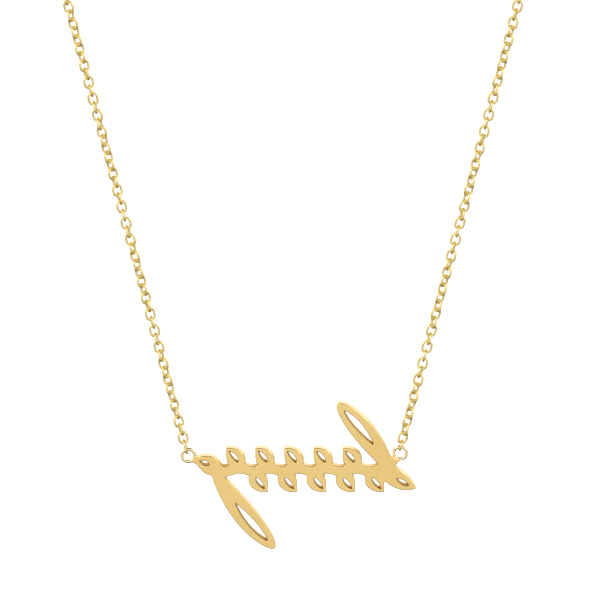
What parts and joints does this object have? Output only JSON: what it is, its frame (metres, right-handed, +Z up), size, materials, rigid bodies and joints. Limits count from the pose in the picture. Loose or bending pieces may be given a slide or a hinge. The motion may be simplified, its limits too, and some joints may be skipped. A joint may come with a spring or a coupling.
{
  "type": "nameplate necklace",
  "caption": "Fine cable chain necklace with a flat, cut-out plate soldered to two small rings and hung between the strands; spring ring clasp at the nape.",
  "frame": {"origin": "the nape of the neck, in the middle of the spring ring's hole", "axes": "+X to the right as the picture shows the necklace, +Y from the plate back to the nape, +Z up"},
  "size_m": [0.0894, 0.092, 0.1107],
  "materials": {
    "plate_gold": "satin-polished yellow gold with bright cut edges",
    "chain_gold": "bright polished yellow gold wire",
    "clasp_gold": "polished yellow gold"
  },
  "bodies": {
    "chain": {"chain_left_front": "chain_gold", "chain_right_front": "chain_gold", "chain_left_back": "chain_gold", "chain_right_back": "chain_gold", "spring_ring_clasp": "clasp_gold", "clasp_jump_ring": "clasp_gold", "end_jump_ring": "clasp_gold"},
    "plate": {"nameplate": "plate_gold"}
  },
  "joints": [
    {"name": "nameplate_swing", "type": "hinge", "parent": "chain", "child": "plate", "pos_m": [0, -0.09, -0.0942], "axis": [0.9999, 0, 0.0122], "range_deg": [-85, 85]}
  ]
}
